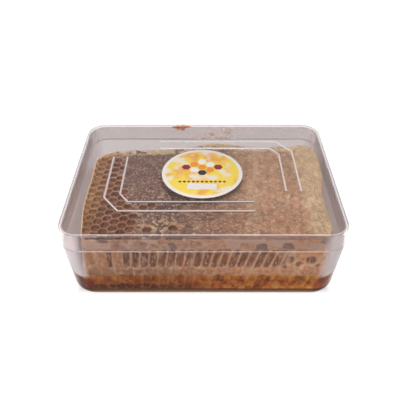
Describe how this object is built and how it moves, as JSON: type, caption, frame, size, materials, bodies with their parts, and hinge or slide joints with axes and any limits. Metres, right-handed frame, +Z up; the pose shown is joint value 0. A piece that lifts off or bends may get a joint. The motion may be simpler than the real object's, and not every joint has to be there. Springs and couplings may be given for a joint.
{
  "type": "boxed honeycomb piece",
  "caption": "Slab of cut honeycomb standing in liquid honey, in a shut clear plastic box with a round label on its slip-on lid.",
  "frame": {"origin": "middle of the box's underside, on the surface it stands on", "axes": "+X along the box's long side, to the right as the label is seen; +Y to the back; +Z up through the lid"},
  "size_m": [0.155, 0.111, 0.0497],
  "materials": {
    "clear_plastic": "clear injection-moulded polystyrene, glossy",
    "label_paper": "coated white sticker paper printed in yellow and orange, satin",
    "comb_wax": "wet beeswax comb, capped and filled with honey",
    "honey": "liquid amber honey, clear and glossy"
  },
  "bodies": {
    "root": {"tray": "clear_plastic", "lid": "clear_plastic", "label": "label_paper", "comb": "comb_wax", "honey": "honey"}
  },
  "joints": []
}
